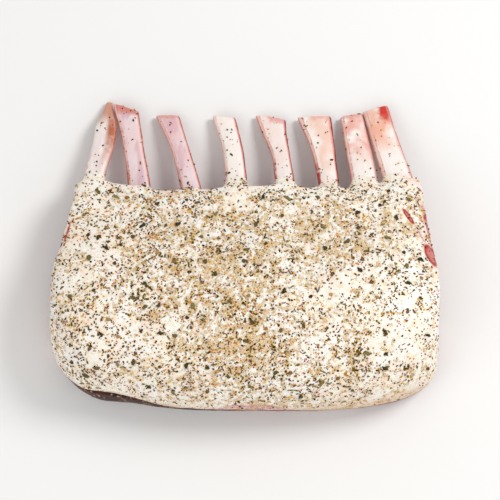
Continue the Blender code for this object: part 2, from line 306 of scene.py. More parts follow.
def along(stations, at):
    """The value at a place between stations, on one smooth curve through them all."""
    places, values = zip(*stations)
    last = len(places) - 1

    def rise(i):
        return (values[i + 1] - values[i]) / (places[i + 1] - places[i])

    def slope(i):
        if i in (0, last):
            return rise(min(i, last - 1))
        before, after = places[i] - places[i - 1], places[i + 1] - places[i]
        return (rise(i - 1) * after + rise(i) * before) / (before + after)

    i = min(max(bisect.bisect_right(places, at) - 1, 0), last - 1)
    span = places[i + 1] - places[i]
    u = min(max((at - places[i]) / span, 0.0), 1.0)
    start = values[i] * (1 + 2 * u) * (1 - u) ** 2 + slope(i) * span * u * (1 - u) ** 2
    end = values[i + 1] * u * u * (3 - 2 * u) + slope(i + 1) * span * u * u * (u - 1)
    return start + end


def arch(y, start, tip_y):
    """Height of a rib's underside between its sawn end and its tip."""
    q = min(max((y - start) / (tip_y - start), 0.0), 1.0)
    return 4 * ARCH * q * (1 - q)


def rib_path(number):
    """Stations along a rib (y, x, width): where it is buried it carries on the lean of its bare end."""
    bared = RIBS[number].bared
    (base_y, base_x, base_width), (waist_y, waist_x, _) = bared[:2]
    start_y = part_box(f"rib_{number + 1}")[0].y
    start_x = CHINE_FIRST_X + CHINE_PITCH * number
    lean = (waist_x - base_x) / (waist_y - base_y)
    buried_x = base_x - lean * (base_y - BURIED_Y) / 2
    buried_width = (BURIED_WIDTH + base_width) / 2
    return [(start_y, start_x, BURIED_WIDTH), (BURIED_Y, buried_x, buried_width)] + bared


def oval():
    """The squarish oval that a rib is in section, as shares of its half width and half depth."""
    shares = []
    for k in range(RIB_SIDES):
        turn = math.tau * (k + 0.5) / RIB_SIDES
        across, up = math.cos(turn), math.sin(turn)
        reach = (abs(across) ** BONE_SQUARENESS + abs(up) ** BONE_SQUARENESS) ** (-1 / BONE_SQUARENESS)
        shares.append((across * reach, up * reach))
    return shares


def rib_ring(number, y, size=1.0, aside=0.0, above=0.0, below=0.0):
    """The oval of a rib at y, grown by so much at its sides, above and below."""
    rib = RIBS[number]
    path = rib_path(number)
    start_y, base_y, tip_y = path[0][0], rib.bared[0][0], path[-1][0]
    x = along([(y, x) for y, x, _ in path], y)
    width = along([(y, width) for y, _, width in path], y)
    depth = min(along(RIB_DEPTH, (y - start_y) / (tip_y - start_y)), width / 2 + THIN_TIP)
    lift = rib.lift * max(0.0, (y - base_y) / (tip_y - base_y))
    slant = rib.slant * max(0.0, 1 - (tip_y - y) / SLANT_START)
    middle = Vector((x, y, arch(y, start_y, tip_y) + lift + depth / 2))
    ring = []
    for across, up in oval():
        half_width = width / 2 * size + aside
        half_depth = depth / 2 * size + (above if up > 0 else below)
        ring.append(middle + Vector((across * half_width, across * slant, up * half_depth)))
    return ring


def rib_mesh(number):
    """A rib with rounded sawn edges and its marrow a little sunk, marked for its colours."""
    start_y, tip_y = rib_path(number)[0][0], rib_path(number)[-1][0]
    shaft = [start_y + (tip_y - SAWN_EDGE - start_y) * k / RIB_RINGS for k in range(RIB_RINGS + 1)]
    rows = [(y, 1.0, 0.0, 0.0) for y in shaft]
    for k in range(1, EDGE_RINGS + 1):
        u = k / EDGE_RINGS
        rounded = SAWN_EDGE_SIZE + (1 - SAWN_EDGE_SIZE) * math.sqrt(1 - u * u)
        rows.append((tip_y - SAWN_EDGE * (1 - u), rounded, 0.0, 0.0))
    rows += [(tip_y, SAWN_EDGE_SIZE * size, sunk, 1 - size) for size, sunk in MARROW_RINGS]
    rows = [(start_y, size, -sunk, 1 - size) for size, sunk in reversed(MARROW_RINGS)] + rows
    rings = []
    for y, size, sunk, _ in rows:
        rings.append([point - Vector((0, sunk, 0)) for point in rib_ring(number, y, size)])
    mesh = skin(f"bare_rib_{number + 1}", rings)
    keep_mark(mesh, "across", [[across for across, _ in oval()] for _ in rows])
    keep_mark(mesh, "up", [[up for _, up in oval()] for _ in rows])
    keep_mark(mesh, "to_tip", [[tip_y - y] * RIB_SIDES for y, _, _, _ in rows])
    keep_mark(mesh, "marrow", [[inward] * RIB_SIDES for _, _, _, inward in rows])
    return mesh


def relief_tree():
    """Raises lumps and a finer grain on a closed mesh, square to its surface."""
    sizes = ("Swell", "Lump size", "Lump height", "Grain size", "Grain height", "Stretch")
    tree, given = tree_with("Relief", sizes)
    mesh = given["Geometry"].node("GeometryNodeMergeByDistance", (), {0: given["Geometry"], "Distance": 1e-6})
    normal = mesh.node("GeometryNodeInputNormal")
    place = mesh.node("GeometryNodeInputPosition").vector("MULTIPLY", given["Stretch"])
    lump = (place.noise(given["Lump size"], 2.0) - 0.5) * given["Lump height"] * 2.0
    grain = (place.noise(given["Grain size"], 3.0) - 0.5) * given["Grain height"] * 2.0
    offset = normal.scaled(lump + grain + given["Swell"])
    mesh = mesh.node("GeometryNodeSetPosition", (), {"Geometry": mesh, "Offset": offset})
    mesh = mesh.node("GeometryNodeSetShadeSmooth", (), {"Geometry": mesh, "Shade Smooth": True})
    finished(mesh, given["Material"])
    return tree


def bare_bone(rib, grained, across):
    """Clean scraped bone: ivory, or pearly with lilac streaks along its middle."""
    inward = across.unsigned()
    ivory = grained.noise(0.0045).pick(colour(249, 245, 241), colour(240, 232, 227))
    pearl = grained.noise(0.0040).pick(colour(238, 222, 228), colour(226, 204, 206))
    tone = (inward.rise(1.30, 0.50) * rib.lilac).pick(ivory, pearl)
    streak = grained.noise(0.0060, 3.0).rise(0.44, 0.60) * inward.rise(0.80, 0.40) * rib.lilac
    return (streak * 0.8).pick(tone, colour(208, 172, 184))


def flushed(tone, rib, place, patchy):
    """The blush over a bone, and the stain on its sawn tip."""
    across = place.mark("across")
    to_tip = place.mark("to_tip")
    rosy = across.rise(rib.flush.start - 0.2, rib.flush.start + 0.3)
    rosy = rosy * to_tip.rise(rib.flush.length, rib.flush.length * 0.45)
    blotch = place.noise(0.0090, 3.0).rise(0.28, 0.60) * rosy
    tone = (blotch * rib.flush.strength).pick(tone, colour(*rib.flush.tone))
    stain = (to_tip + (patchy - 0.5) * 0.006).rise(rib.tip.length, rib.tip.length * 0.35)
    stain = stain * (across + (patchy - 0.5) * 0.8).rise(rib.tip.start - 0.2, rib.tip.start + 0.2)
    return (stain * rib.tip.strength).pick(tone, colour(*rib.tip.tone))


def shredded(tone, rib, left, right, patchy):
    """Pink skin and red tissue left along both sides of a bone, darkest at its right."""
    tone = (left.rise(0.70, 0.78) * rib.left).pick(tone, colour(238, 192, 180))
    line = (left - 0.74).unsigned().rise(0.06, 0.01) * patchy.rise(0.35, 0.50) * rib.left
    tone = (line * 0.8).pick(tone, colour(204, 88, 84))
    tone = (left.rise(0.90, 0.96) * rib.left).pick(tone, colour(212, 122, 108))
    tone = (right.rise(0.74, 0.84) * rib.right).pick(tone, colour(232, 156, 146))
    return (right.rise(0.88, 0.93) * patchy.rise(0.28, 0.44) * rib.right).pick(tone, colour(126, 26, 30))


def bone_finish(number):
    """Scraped bone of one rib, stained by its own share of lilac, blush and red tissue."""
    rib = RIBS[number]
    made, shader, place = moist(f"bone_{number + 1}", 0.36, 0.12, 0.003)
    across = place.mark("across")
    grained = place.vector("MULTIPLY", (1.0, 0.20, 1.0))
    streaked = (grained.noise(0.0022, 3.0) - 0.5) * 0.12
    patchy = place.noise(0.0035, 3.0)
    left = across * -1.0 + streaked
    right = across + streaked
    tone = flushed(bare_bone(rib, grained, across), rib, place, patchy)
    tone = shredded(tone, rib, left, right, patchy)
    to_foot = place.axis("Y") - rib.bared[0][0]
    shred = to_foot.rise(0.016, 0.001) * (left + (patchy - 0.5) * 0.8).rise(0.66, 0.90)
    tone = (shred * patchy.rise(0.30, 0.46) * rib.foot).pick(tone, colour(186, 34, 40))
    under = place.mark("up").rise(-0.20, -0.70) * patchy.rise(0.40, 0.60)
    tone = (under * 0.6).pick(tone, colour(198, 112, 104))
    marrow = place.mark("marrow")
    sawn = place.noise(0.0009, 3.0).pick(colour(142, 44, 38), colour(226, 172, 146))
    tone = marrow.rise(0.22, 0.34).pick(tone, sawn)
    tone.into(shader, "Base Color")
    relief_in(shader, grained.noise(0.0012, 4.0) + marrow * place.noise(0.0007), 0.0003)
    return made


relief = relief_tree()
ribs = []
for number in range(len(RIBS)):
    rib = piece_from(f"bare_rib_{number + 1}", rib_mesh(number))
    worked(rib, relief, {
        "Swell": 0.0, "Lump size": 0.0060, "Lump height": 0.0003,
        "Grain size": 0.0020, "Grain height": 0.00008, "Stretch": (1.0, 0.35, 1.0),
        "Material": bone_finish(number),
    })
    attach(rib, "root")
    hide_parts(f"rib_{number + 1}")
    ribs.append(rib)

# The meat
# The loin and the meat between the ribs, raw and deep red, with seams of fat round each muscle and a
# silvery skin along the loin edge and under the ribs. It is cut square at both ends of the rack.

MEAT_GRID = 0.0012
EYE_Y = -0.020
EYE_Z = 0.014
EYE_LENGTH = 0.026
EYE_HEIGHT = 0.0085


def meat_finish():
    """Red fibres with veins of fat, the eye of the loin at both ends, silver skin, and a front painted near
    black: dark lean with painted shadow.
    """
    made, shader, place = moist("raw_meat", 0.45, 0.05, 0.003)
    shader.inputs["Specular IOR Level"].default_value = 0.25
    fibre = place.vector("MULTIPLY", (0.25, 1.0, 1.0))
    red = fibre.noise(0.0050, 4.0).rise(0.30, 0.70).pick(colour(142, 44, 42), colour(190, 84, 76))
    red = place.noise(0.0160).rise(0.45, 0.70).pick(red, colour(120, 34, 34))
    vein = (place.noise(0.0110, 3.0) - 0.5).unsigned().rise(0.018, 0.003)
    red = (vein * 0.5).pick(red, colour(232, 204, 188))
    fat = place.noise(0.0030).pick(colour(246, 234, 216), colour(236, 214, 194))
    at_end = place.axis("X").unsigned().rise(0.1030, 0.1042)
    wobble = (place.noise(0.0080) - 0.5) * 0.5
    y = (place.axis("Y") - EYE_Y) * (1 / EYE_LENGTH)
    z = (place.axis("Z") - EYE_Z) * (1 / EYE_HEIGHT)
    from_eye = (y ** 2.0 + z ** 2.0) ** 0.5 + wobble
    seam = from_eye.rise(0.92, 1.0) * from_eye.rise(1.34, 1.18)
    tone = (seam * at_end * 0.95).pick(red, fat)
    below = 1.0 - at_end
    silver = place.noise(0.0140, 3.0).rise(0.42, 0.60) * below
    tone = (silver * 0.62).pick(tone, colour(226, 186, 176))
    streaks = place.vector("MULTIPLY", (0.20, 1.0, 1.0)).noise(0.0060, 3.0).rise(0.56, 0.66) * below
    tone = (streaks * 0.8).pick(tone, fat)
    # The lower front is painted near black, strongest at the left: partly dark lean, partly painted shadow
    # where the meat meets the floor. Pale flecks lie over it.
    front = place.axis("Y").rise(-0.0560, -0.0640) * (0.35 + 0.65 * place.axis("X").rise(0.020, -0.035))
    front_dark_and_shade = fibre.noise(0.0030, 3.0).rise(0.35, 0.65).pick(colour(30, 9, 5), colour(84, 34, 22))
    front_dark_and_shade = (place.noise(0.0024, 3.0).rise(0.58, 0.66) * 0.8).pick(front_dark_and_shade, colour(196, 158, 128))
    tone = front.pick(tone, front_dark_and_shade)
    tone.into(shader, "Base Color")
    relief_in(shader, fibre.noise(0.0016, 4.0), 0.0005)
    return made


meat = piece_from("loin_meat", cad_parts["meat"].data.copy())
meat.data.materials.clear()
weld = meat.modifiers.new("Weld", "WELD")
weld.merge_threshold = 1e-6
even = meat.modifiers.new("Even", "REMESH")
even.mode = "VOXEL"
even.voxel_size = MEAT_GRID
worked(meat, relief, {
    "Swell": -0.0001, "Lump size": 0.0090, "Lump height": 0.0006,
    "Grain size": 0.0030, "Grain height": 0.0002, "Stretch": (0.5, 1.0, 1.0),
    "Material": meat_finish(),
})
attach(meat, "root")
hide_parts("meat")

# The fat cap
# One thick layer of firm white fat over the loin, trimmed along the frenching line, where a foot of
# it is left on most of the bones. At the right end a slip of it is cut away, down to the meat.

LEFT_SIDE = [(-0.087, 0.1024), (-0.036, 0.1036), (-0.008, 0.1008), (0.004, 0.0966), (0.015, 0.0947)]
LEFT_SIDE += [(0.036, 0.0896)]
RIGHT_SIDE = [(-0.087, 0.1056), (-0.042, 0.1038), (-0.016, 0.1039), (0.003, 0.0998), (0.018, 0.0968)]
RIGHT_SIDE += [(0.036, 0.0950)]
LOIN_EDGE = -0.0867
LEFT_CORNER = (0.042, 2.6)
RIGHT_CORNER = (0.035, 3.3)
FRENCH_Y = 0.0345
FRENCH_LINE = [(-0.095, 0.0367), (-0.069, 0.0360), (-0.045, 0.0320), (-0.017, 0.0327), (0.008, 0.0343)]
FRENCH_LINE += [(0.055, 0.0332), (0.075, 0.0345), (0.086, 0.0365), (0.095, 0.0398)]
TONGUES = [0.003, 0.001, 0.001, 0.003, 0.003, 0.002, 0.003, 0.003]
TONGUE_WIDTH = 0.0065
CROWN = [(-0.087, 0.0540), (-0.047, 0.0575), (-0.014, 0.0510), (0.013, 0.0400), (0.036, 0.0300)]
NOSE_DEPTH = 0.040
NOSE_SQUARENESS = 2.3
FAT_FOOT = [(-1.0, 0.014), (-0.86, 0.023), (-0.62, 0.024), (-0.44, 0.018), (-0.2, 0.021)]
FAT_FOOT += [(0.15, 0.021), (0.45, 0.015), (1.0, 0.013)]

# At the left front the loin swells out from under the fat: how far, its middle along s, its half
# length, and how far the foot of the fat lies behind the loin edge along s.
LOIN_SWELL = 0.0040
SWELL_S = -0.80
SWELL_LENGTH = 0.14
FOOT_BACK = [(-1.0, 0.0), (-0.88, 0.0006), (-0.76, 0.0036), (-0.60, 0.0025), (-0.42, 0.0004), (-0.2, 0.0)]
FOOT_BACK += [(1.0, 0.0)]

FAT_DEPTH = [(-0.087, 0.0045), (-0.047, 0.0075), (-0.002, 0.0070), (0.036, 0.0055)]
BACK_ROUND = 0.010
BACK_FALL = 0.004
BACK_UPRIGHT = 0.1
END_KEEP = 0.40
END_SQUARENESS = 3.2
LUMP_SIZE = 0.022
LUMP_HEIGHT = 0.0016
LUMP_START = 0.010
LUMP_SQUARENESS = 8
CHINE_INSET = 0.012
TIP_Y = 0.080
MIDDLE_DEPTH = 0.0068
OVER_RIB = 0.0022
SLOPE_STEP = 0.004
LENGTH_STEPS = 180
END_CROWDING = 0.35
NOSE_SHARE = 6 / 14
OUTER_STEPS = 112
UNDER_STEPS = 24

# The fat's foot on each bone: how far it climbs, how high it stands at the trimmed line and how far
# it spreads beside the bone there. It starts a little inside the fat.
CLIMBS = [0.010, 0.003, 0.004, 0.011, 0.010, 0.008, 0.011, 0.0095]
CLIMB_INSIDE = 0.006
CLIMB_HEIGHT = 0.0034
CLIMB_SPREAD = 0.0040
CLIMB_SINK = 0.0006
CLIMB_UNDERCUT = 0.0020
CLIMB_STEPS = 24
FAT_GRID = 0.00097
FAT_SMOOTHING = 8

# The cut at the right end: its line (y, x), and how much lower the fat lies beyond it.
SLIT = [(-0.0135, 0.1000), (-0.0012, 0.0982), (0.0037, 0.0972), (0.0112, 0.0915), (0.0196, 0.0864)]
SLIT_STEP = 0.0014
SLIT_EASE = 0.0012

# A place where the fat is thin: middle, half length and half width, turn in degrees, and how raw it is.
Bare = namedtuple("Bare", "x y length width turn strength")
BARE_PLACES = [
    Bare(0.0996, -0.0064, 0.0060, 0.0026, -64, 1.00),
    Bare(0.0881, 0.0155, 0.0048, 0.0011, -56, 1.00),
    Bare(0.0943, 0.0048, 0.0077, 0.0008, -62, 0.50),
    Bare(0.0900, 0.0385, 0.0045, 0.0032, -60, 0.22),
    Bare(-0.0945, 0.0065, 0.0075, 0.0009, 75, 0.60),
    Bare(-0.0440, 0.0310, 0.0075, 0.0009, -30, 0.35),
    Bare(-0.0345, 0.0215, 0.0110, 0.0028, -75, 0.16),
    Bare(0.0700, 0.0330, 0.0040, 0.0025, 20, 0.18),
]
RIM_RAWNESS = 0.30
EDGE_RAWNESS = 0.52
TRIMMED_RAWNESS = 0.30
SKIN_RAWNESS = 0.43

# Where the right rim is raw: how far in from the side, how far along it, and where its edge line ends.
RIM_WIDTH = (-0.0045, -0.0010)
EDGE_WIDTH = (-0.0018, -0.0009)
RIM_START = (-0.016, -0.004)
EDGE_END = (0.032, 0.018)

# Along the loin edge, how high above the fat's foot a dark band shows, lean at the left front and painted
# contact shadow further right, and how high pink skin does.
LEAN_AND_CONTACT_SHADE = [(-0.100, 0.0), (-0.088, 0.0022), (-0.062, 0.0026), (-0.047, 0.0026), (0.018, 0.0022)]
LEAN_AND_CONTACT_SHADE += [(0.090, 0.0020), (0.100, 0.0)]
PINK_SKIN = [(-0.022, 0.0), (-0.006, 0.0130), (0.016, 0.0120), (0.032, 0.0)]
FRONT_Y = -0.045
PLAIN_POWDER = 0.40
POWDER_ON_FEET = -0.7
FEET_START = (0.028, 0.037)

# Where the powder of the rub lies: middle, radius and strength. Less than 0 is wiped clean.
Patch = namedtuple("Patch", "x y radius strength")
POWDER = [
    Patch(0.0011, -0.0602, 0.0219, 0.50),
    Patch(-0.0285, -0.0132, 0.0317, 0.35),
    Patch(0.0596, 0.0024, 0.0110, 0.50),
    Patch(0.0245, 0.0013, 0.0266, 0.25),
    Patch(-0.0020, -0.0325, 0.0210, 0.15),
    Patch(-0.0751, -0.0514, 0.0235, -0.45),
    Patch(0.0894, -0.0461, 0.0209, -0.40),
    Patch(0.0463, -0.0270, 0.0140, -0.40),
    Patch(-0.0809, 0.0036, 0.0150, -0.25),
    Patch(-0.0038, 0.0279, 0.0075, -0.40),
]


def superellipse(u, squareness):
    """Height of a rounded shoulder, 1 in the middle and 0 at u = 1."""
    return (1 - min(abs(u), 1.0) ** squareness) ** (1 / squareness)


def loin_edge(s):
    """Y of the loin edge, which falls back at both corners."""
    fall, squareness = LEFT_CORNER if s < 0 else RIGHT_CORNER
    swell = LOIN_SWELL * math.exp(-(((s - SWELL_S) / SWELL_LENGTH) ** 2))
    return LOIN_EDGE + fall * (1 - superellipse(s, squareness)) - swell


def side_x(s, y):
    """X of the place s along the rack."""
    return (along(RIGHT_SIDE, y) * (1 + s) - along(LEFT_SIDE, y) * (1 - s)) / 2


def french_edge(s):
    """Y where the fat is trimmed from the ribs, with a tongue up each bone."""
    x = side_x(s, FRENCH_Y)
    bases = [rib.bared[0][1] for rib in RIBS]
    tongues = sum(t * math.exp(-(((x - base) / TONGUE_WIDTH) ** 2)) for t, base in zip(TONGUES, bases))
    return along(FRENCH_LINE, x) + tongues


def back_fall(s, y):
    """How much thinner the fat is where it rounds off towards the bare ribs."""
    return BACK_FALL * max(0.0, 1 - (french_edge(s) - y) / BACK_ROUND) ** 2


def fat_top(s, y, d):
    """Height of the outside of the fat, at a distance d behind the loin edge."""
    ribs_below = arch(y, loin_edge(s) + CHINE_INSET, TIP_Y) + MIDDLE_DEPTH
    shoulder = ribs_below + along(FAT_DEPTH, y) + OVER_RIB
    ends = END_KEEP + (1 - END_KEEP) * superellipse(s, END_SQUARENESS)
    height = shoulder + (along(CROWN, y) - shoulder) * ends - back_fall(s, y)
    foot, back = along(FAT_FOOT, s), along(FOOT_BACK, s)
    nose = min(max(d - back, 0.0) / (NOSE_DEPTH - back), 1.0)
    height = foot + (height - foot) * superellipse(1 - nose, NOSE_SQUARENESS)
    lump = noise.noise(Vector((side_x(s, y), y, 0.0)) / LUMP_SIZE)
    return height + LUMP_HEIGHT * lump * min(1.0, d / LUMP_START) * superellipse(s, LUMP_SQUARENESS)


def fat_point(s, q):
    """(d, height) of the outside of the fat: evenly round the nose, then straight back."""
    if q < NOSE_SHARE:
        back = along(FOOT_BACK, s)
        round_nose = (1 - math.cos(math.pi / 2 * q / NOSE_SHARE)) ** (NOSE_SQUARENESS / 2)
        d = back + (NOSE_DEPTH - back) * round_nose
    else:
        depth = french_edge(s) - loin_edge(s)
        d = NOSE_DEPTH + (depth - NOSE_DEPTH) * (q - NOSE_SHARE) / (1 - NOSE_SHARE)
    return d, fat_top(s, loin_edge(s) + d, d)


def placed(s, d, z):
    """The point at s that lies d behind the loin edge."""
    y = loin_edge(s) + d
    return Vector((side_x(s, y), y, z))


def under_fat(s, q):
    """A point below the fat, square to its surface, but straight down where it meets the ribs."""
    low = fat_point(s, max(q - SLOPE_STEP, 0.0))
    high = fat_point(s, min(q + SLOPE_STEP, 1.0))
    slope = math.atan2(high[1] - low[1], high[0] - low[0]) * min((1 - q) / BACK_UPRIGHT, 1.0)
    d, z = fat_point(s, q)
    y = loin_edge(s) + d
    depth = along(FAT_DEPTH, y) - back_fall(s, y)
    return placed(s, d + depth * math.sin(slope), z - depth * math.cos(slope))


def fat_sheet():
    """The layer of fat: its outside from the foot to the trimmed line, and back under it."""
    even = [2 * i / LENGTH_STEPS - 1 for i in range(LENGTH_STEPS + 1)]
    rings = []
    for u in even:
        s = u * (1 + END_CROWDING * (1 - u * u))
        outside = [placed(s, *fat_point(s, k / OUTER_STEPS)) for k in range(OUTER_STEPS + 1)]
        rings.append(outside + [under_fat(s, 1 - k / UNDER_STEPS) for k in range(UNDER_STEPS + 1)])
    return skin("fat_sheet", rings)


def fat_climb(number):
    """The fat's foot on one bone, which thins out along it and ends inside it."""
    climb = CLIMBS[number]
    trimmed = along(FRENCH_LINE, RIBS[number].bared[0][1])
    spread = CLIMB_SPREAD * climb / max(CLIMBS)
    rings = []
    for k in range(CLIMB_STEPS + 1):
        t = -CLIMB_INSIDE / climb + (1 + CLIMB_INSIDE / climb) * k / CLIMB_STEPS
        left = 1 - max(t, 0.0)
        above = CLIMB_HEIGHT * left**2 - CLIMB_SINK * (1 - left)
        aside = spread * left**4 - CLIMB_SINK * (1 - left)
        rings.append(rib_ring(number, trimmed + climb * t, 1.0, aside, above, -CLIMB_UNDERCUT))
    return skin("fat_climb", rings)


def joined(meshes):
    """Several meshes as one, for a remesh to fuse."""
    whole = bmesh.new()
    for mesh in meshes:
        whole.from_mesh(mesh)
        bpy.data.meshes.remove(mesh)
    data = bpy.data.meshes.new("joined")
    whole.to_mesh(data)
    whole.free()
    return data


def points_of(mesh, what="co"):
    """The places or the normals of a mesh's points, a row for each."""
    found = np.empty(len(mesh.vertices) * 3)
    mesh.vertices.foreach_get(what, found)
    return found.reshape(-1, 3)


def eased(values, low, high):
    """0 at low and 1 at high, easing in and out."""
    u = np.clip((values - low) / (high - low), 0, 1)
    return u * u * (3 - 2 * u)


def beyond_slit(points):
    """How far each point lies to the right of the cut, along X, and how near to its ends it is."""
    places, line = zip(*SLIT)
    y = points[:, 1]
    right = points[:, 0] - np.interp(y, places, line)
    return right, eased(y, places[0], places[1]) * eased(y, places[-1] + 0.004, places[-2])


def above_foot(points, line):
    """1 where a point at the front lies lower above the foot of the fat than a line, else 0."""
    ends, feet = zip(*FAT_FOOT)
    left, right = LEFT_SIDE[0][1], RIGHT_SIDE[0][1]
    height = points[:, 2] - np.interp((2 * points[:, 0] + left - right) / (left + right), ends, feet)
    limit = np.interp(points[:, 0], *zip(*line))
    return eased(height - limit, 0.0006, -0.0006) * eased(limit, 0.0, 0.001) * (points[:, 1] < FRONT_Y)


def rawness(points, normals):
    """How far the meat shows through the fat at each point."""
    side = np.interp(points[:, 1], *zip(*RIGHT_SIDE))
    inward, y = points[:, 0] - side, points[:, 1]
    rim = eased(inward, *RIM_WIDTH) * eased(y, *RIM_START)
    trimmed = eased(normals[:, 1], 0.70, 0.95) * eased(y, 0.020, 0.030)
    edge = eased(inward, *EDGE_WIDTH) * eased(y, *RIM_START) * eased(y, *EDGE_END)
    shown = np.maximum(np.maximum(RIM_RAWNESS * rim, EDGE_RAWNESS * edge), TRIMMED_RAWNESS * trimmed)
    shown = np.maximum(shown, SKIN_RAWNESS * above_foot(points, PINK_SKIN))
    for bare in BARE_PLACES:
        turn = math.radians(bare.turn)
        aside, behind = points[:, 0] - bare.x, points[:, 1] - bare.y
        length = (aside * math.cos(turn) + behind * math.sin(turn)) / bare.length
        width = (behind * math.cos(turn) - aside * math.sin(turn)) / bare.width
        shown = np.maximum(shown, bare.strength * np.clip(1.6 - np.hypot(length, width), 0, 1))
    return shown


def patched(points, patches, plain):
    """A value at each point: the plain one, and more or less in each patch."""
    value = np.full(len(points), plain)
    for patch in patches:
        away = np.hypot(points[:, 0] - patch.x, points[:, 1] - patch.y) / patch.radius
        value += patch.strength * np.exp(-(away**2))
    return np.clip(value, 0, None)


def clean_fat(place):
    """White fat, creamy and peach in places, and tan where it is thin, low at the loin edge."""
    tone = place.noise(0.0180, 3.0).rise(0.35, 0.65).pick(colour(252, 248, 241), colour(248, 240, 226))
    tone = (place.noise(0.0070, 3.0).rise(0.52, 0.70) * 0.6).pick(tone, colour(246, 220, 196))
    tone = (place.noise(0.0034, 3.0, 0.6).rise(0.53, 0.66) * 0.5).pick(tone, colour(240, 206, 152))
    low = place.axis("Z").rise(0.036, 0.018) * place.axis("Y").rise(-0.060, -0.080)
    tan = place.axis("X").rise(0.010, 0.035).pick(colour(226, 202, 174), colour(224, 182, 138))
    return (low * 0.75).pick(tone, tan)


def specked(place, thickness, scale, widest, share, dark, pale):
    """Where the finest specks of the rub show, thickest on its powder, and their colour."""
    cells = place.node("ShaderNodeTexVoronoi", (), {"Vector": place, "Scale": scale}, out="Color")
    dot = cells.beside("Distance").rise(*widest) * cells.axis("X").rise(*share)
    dot = dot * thickness * place.mark("powder").rise(-0.1, 0.3)
    return dot, cells.axis("Y").pick(dark, pale)


def bared(tone, place, mottle):
    """Fat that is thin: pink, then red at the edge of a bare place, and a dark band at the foot of the front:
    lean, with painted contact shadow.
    """
    shown = place.mark("raw")
    raw = (shown + (place.noise(0.0020) - 0.5) * 0.35) * shown.rise(0.0, 0.05)
    flesh = place.noise(0.0022).pick(colour(174, 92, 94), colour(222, 138, 126))
    tone = (raw.rise(0.02, 0.35) * 0.45).pick(tone, colour(244, 194, 184))
    tone = raw.rise(0.32, 0.62).pick(tone, colour(172, 52, 44))
    tone = raw.rise(0.78, 1.02).pick(tone, flesh)
    # The dark band at the foot of the front: lean at the left front, painted contact shadow along the rest.
    fibres = place.vector("MULTIPLY", (0.4, 1.0, 1.0)).noise(0.0018, 3.0)
    lean = fibres.rise(0.35, 0.60).pick(colour(58, 30, 24), colour(112, 58, 46))
    lean = (fibres.rise(0.60, 0.72) * 0.8).pick(lean, colour(196, 160, 134))
    return (place.mark("lean") + (mottle - 0.5) * 0.6).rise(0.35, 0.65).pick(tone, lean)


def fat_finish():
    """White fat under drifts of beige powder and the finest specks of the rub, bare in places."""
    made, shader, place = moist("lamb_fat", 0.42, 0.20, 0.004)
    grains = place.noise(0.0009, 3.0, 0.6)
    mottle = place.noise(0.0024, 4.0, 0.6)
    drift = place.noise(0.0090, 3.0, 0.55)
    crust = mottle + (drift - 0.5) * 0.5 + (place.mark("powder") - 0.5) * 0.24 + (grains - 0.5) * 0.4
    crust = crust.rise(0.49, 0.65)
    dust = grains.rise(0.35, 0.65).pick(colour(196, 140, 54), colour(238, 210, 142))
    tone = (crust * 0.72).pick(clean_fat(place), dust)
    fine = (1150.0, (0.44, 0.26), (0.58, 0.62), colour(96, 52, 0), colour(204, 136, 22))
    coarse = (620.0, (0.34, 0.20), (0.60, 0.64), colour(96, 48, 0), colour(212, 142, 30))
    dot, ink = specked(place, 0.25 + 0.75 * crust, *fine)
    tone = (dot * 0.9).pick(tone, ink)
    dot, ink = specked(place, 0.35 + 0.65 * crust, *coarse)
    tone = (dot * 0.85).pick(tone, ink)
    bared(tone, place, mottle).into(shader, "Base Color")
    (0.36 + 0.36 * crust).into(shader, "Roughness")
    relief_in(shader, grains * (0.3 + crust) + place.noise(0.0035, 3.0), 0.0005)
    return made


fat = piece_from("fat_layer", joined([fat_sheet()] + [fat_climb(number) for number in range(len(RIBS))]))
fused = fat.modifiers.new("Fused", "REMESH")
fused.mode = "VOXEL"
fused.voxel_size = FAT_GRID
smooth = fat.modifiers.new("Smooth", "SMOOTH")
smooth.iterations = FAT_SMOOTHING
made_plain(fat)
spots = points_of(fat.data)
facing = points_of(fat.data, "normal")
right, near = beyond_slit(spots)
spots[:, 2] -= SLIT_STEP * eased(right, 0.0, SLIT_EASE) * near * eased(facing[:, 2], 0.0, 0.4)
fat.data.vertices.foreach_set("co", spots.ravel())
keep_mark(fat.data, "raw", rawness(spots, facing))
# The lean mark holds the dark front band: lean at the left, painted contact shadow towards the right.
keep_mark(fat.data, "lean", above_foot(spots, LEAN_AND_CONTACT_SHADE))
on_feet = POWDER_ON_FEET * eased(spots[:, 1], *FEET_START)
keep_mark(fat.data, "powder", patched(spots, POWDER, PLAIN_POWDER) + on_feet)
worked(fat, relief, {
    "Swell": 0.0001, "Lump size": 0.0060, "Lump height": 0.0004,
    "Grain size": 0.0022, "Grain height": 0.00015, "Stretch": (1.0, 1.0, 1.0),
    "Material": fat_finish(),
})
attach(fat, "root")
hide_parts("fat_cap")

# The rub
# Dried rosemary and parsley, cracked pepper, garlic granules and a little chilli, strewn over the fat
# and thinly over the bones. The pieces lie flat and part sunk in the moist fat.

